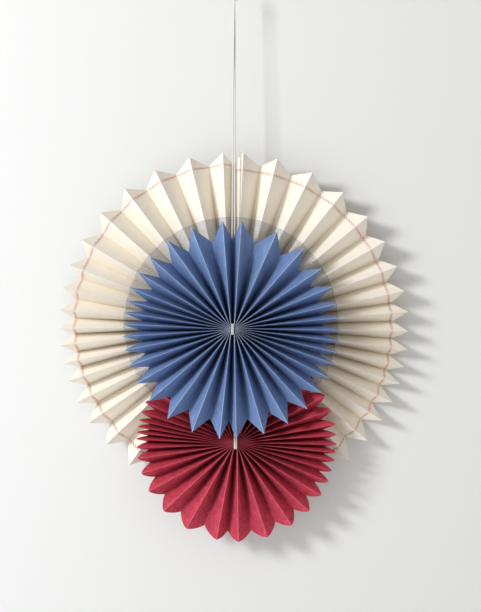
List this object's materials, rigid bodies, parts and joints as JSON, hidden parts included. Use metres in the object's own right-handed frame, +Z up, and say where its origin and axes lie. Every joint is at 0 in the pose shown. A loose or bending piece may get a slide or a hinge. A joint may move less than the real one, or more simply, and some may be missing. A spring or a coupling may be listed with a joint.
{
  "type": "paper fan rosette",
  "caption": "Hanging decoration of overlapping pleated paper fan rosettes in cream, red and blue, tied on a doubled cotton string with a knot and a loop for a nail.",
  "frame": {"origin": "inside top of the hanging loop, where the nail carries it", "axes": "+Z up along the height, +Y away from the viewer towards the wall, X across the front"},
  "size_m": [0.3511, 0.06, 0.5541],
  "materials": {
    "cream_paper": "matt uncoated paper, cream with a pale grey dotted print in the middle and a pink stitched line near the edge",
    "red_paper": "matt fibrous paper, raspberry red",
    "blue_paper": "matt fibrous paper, slate blue, paler along the folds",
    "tie_thread": "white cotton thread",
    "cotton_string": "white twisted cotton string"
  },
  "bodies": {
    "root": {"cream_rosette": "cream_paper", "red_rosette": "red_paper", "blue_rosette": "blue_paper", "cream_tie": "tie_thread", "blue_tie": "tie_thread", "red_tie": "cotton_string", "string_left": "cotton_string", "string_right": "cotton_string", "top_knot": "cotton_string", "hanging_loop": "cotton_string"}
  },
  "joints": []
}
